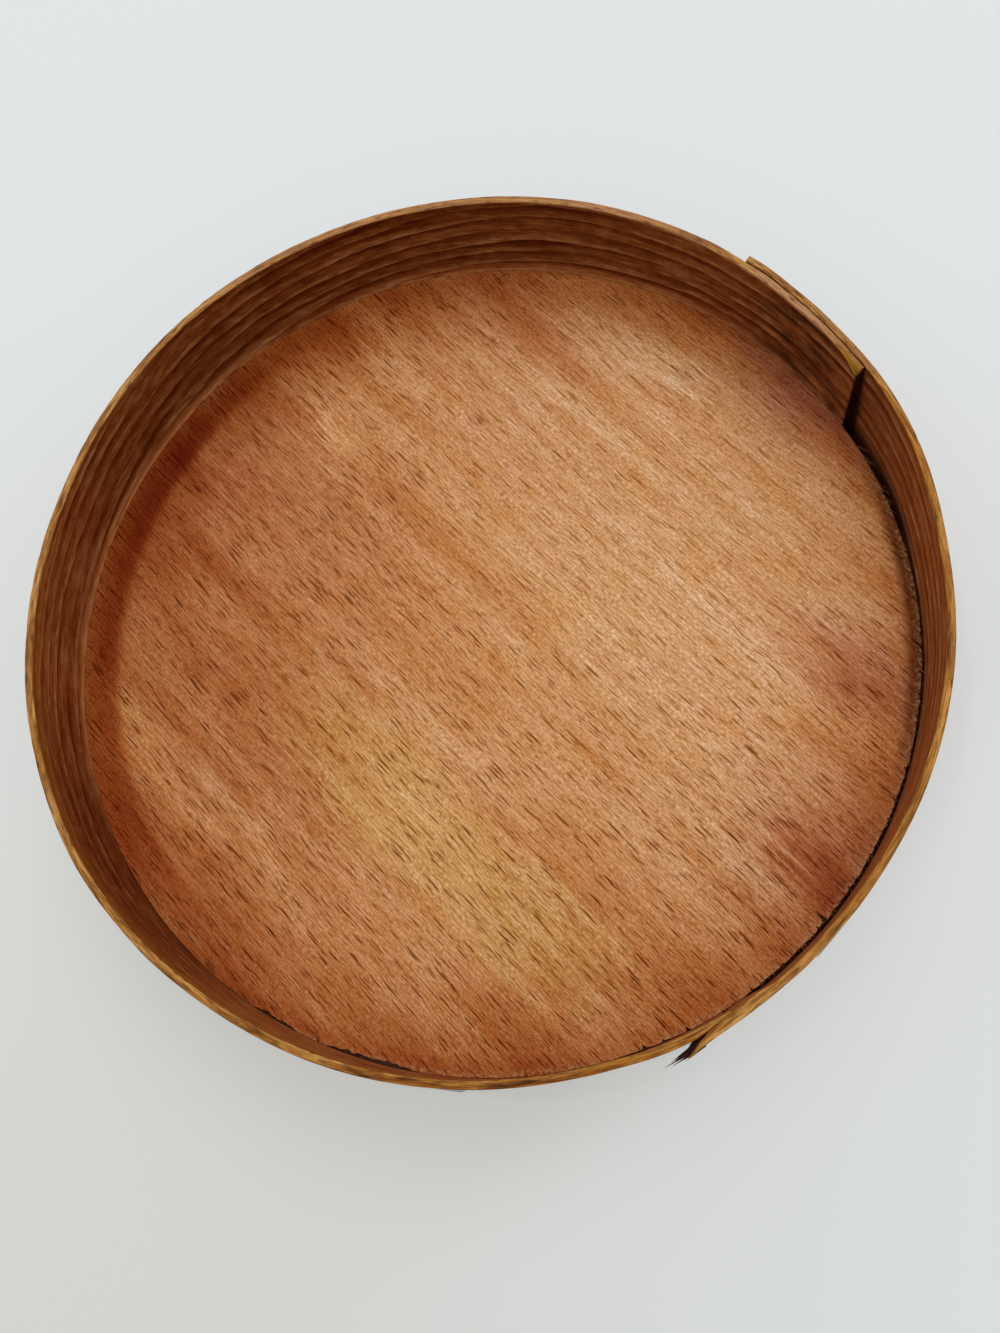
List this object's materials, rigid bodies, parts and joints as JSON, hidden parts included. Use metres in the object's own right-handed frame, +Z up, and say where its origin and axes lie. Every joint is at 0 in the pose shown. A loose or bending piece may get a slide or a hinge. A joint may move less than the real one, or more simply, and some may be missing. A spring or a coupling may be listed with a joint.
{
  "type": "round wooden cheese box half",
  "caption": "Shallow round bentwood tray, half of a cheese box: thin lapped strips stapled round a flat plywood panel.",
  "frame": {"origin": "middle of the panel's underside, on the surface that the box stands on", "axes": "+Z up through the open side; the lap's inner end is 32.5 degrees anticlockwise from +X, and the scarf 61.5 degrees clockwise from it"},
  "size_m": [0.113, 0.1133, 0.018],
  "materials": {
    "hoop_beech": "satin",
    "panel_face_beech": "satin",
    "panel_core_beech": "satin",
    "panel_back_beech": "satin",
    "staple_steel": "satin"
  },
  "bodies": {
    "root": {"hoop_long_strip": "hoop_beech", "hoop_short_strip": "hoop_beech", "panel_face_veneer": "panel_face_beech", "panel_core_veneer": "panel_core_beech", "panel_back_veneer": "panel_back_beech", "panel_staples": "staple_steel"}
  },
  "joints": []
}
